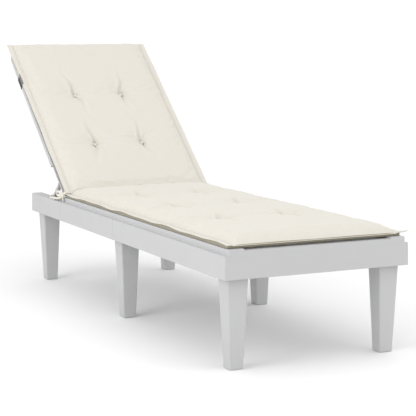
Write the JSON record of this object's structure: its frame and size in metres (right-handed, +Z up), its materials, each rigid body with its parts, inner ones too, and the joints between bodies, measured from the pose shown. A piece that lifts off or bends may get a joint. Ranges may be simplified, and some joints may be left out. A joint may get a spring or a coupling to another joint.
{
  "type": "reclining sun lounger",
  "caption": "Reclining sun lounger: slatted moulded base on tapered legs, hinged backrest held up by a notched prop, and a thin buttoned pad tied and strapped on.",
  "frame": {"origin": "On the ground at the middle of the overall width and of the overall length with the backrest at 39 degrees.", "axes": "+Z up; +Y from the foot end towards the head end; +X to the right of someone lying on it with their feet towards -Y."},
  "size_m": [0.553, 1.8538, 0.8345],
  "materials": {
    "base_plastic": "injection-moulded polypropylene, light grey-white, satin",
    "pad_fabric": "cream plain-weave polyester, matt",
    "tie_fabric": "cream woven tie tape",
    "elastic_black": "black woven elastic",
    "fastener_steel": "zinc-plated steel"
  },
  "bodies": {
    "root": {"foot_frame": "base_plastic", "head_frame": "base_plastic", "leg_foot_left": "base_plastic", "leg_foot_right": "base_plastic", "leg_middle_left": "base_plastic", "leg_middle_right": "base_plastic", "leg_head_left": "base_plastic", "leg_head_right": "base_plastic", "leg_screw_foot_left": "fastener_steel", "leg_screw_foot_right": "fastener_steel", "leg_screw_middle_front_left": "fastener_steel", "leg_screw_middle_front_right": "fastener_steel", "leg_screw_middle_rear_left": "fastener_steel", "leg_screw_middle_rear_right": "fastener_steel", "leg_screw_head_left": "fastener_steel", "leg_screw_head_right": "fastener_steel", "joint_bolt_left": "fastener_steel", "joint_bolt_right": "fastener_steel", "joint_nut_left": "fastener_steel", "joint_nut_right": "fastener_steel", "rack_left": "base_plastic", "rack_right": "base_plastic", "hinge_pin_left": "fastener_steel", "hinge_pin_right": "fastener_steel", "seat_pad": "pad_fabric", "seat_button_1_left": "pad_fabric", "seat_button_1_right": "pad_fabric", "seat_button_2_left": "pad_fabric", "seat_button_2_right": "pad_fabric", "seat_button_3_left": "pad_fabric", "seat_button_3_right": "pad_fabric", "tie_left": "tie_fabric", "tie_right": "tie_fabric"},
    "backrest": {"backrest_panel": "base_plastic", "prop_pin_left": "fastener_steel", "prop_pin_right": "fastener_steel", "back_pad": "pad_fabric", "back_button_1_left": "pad_fabric", "back_button_1_right": "pad_fabric", "back_button_2_left": "pad_fabric", "back_button_2_right": "pad_fabric", "elastic_strap": "elastic_black"},
    "prop": {"prop_frame": "base_plastic"}
  },
  "joints": [
    {"name": "backrest_hinge", "type": "hinge", "parent": "root", "child": "backrest", "pos_m": [0, 0.32641, 0.3141], "axis": [1, 0, 0], "range_deg": [-39.2, 15.8]},
    {"name": "prop_hinge", "type": "hinge", "parent": "backrest", "child": "prop", "pos_m": [0, 0.38453, 0.3615], "axis": [1, 0, 0], "range_deg": [-31.6, 78.4]}
  ],
  "couplings": [
    {"joint": "prop_hinge", "follows": "backrest_hinge", "ratio": -2}
  ]
}
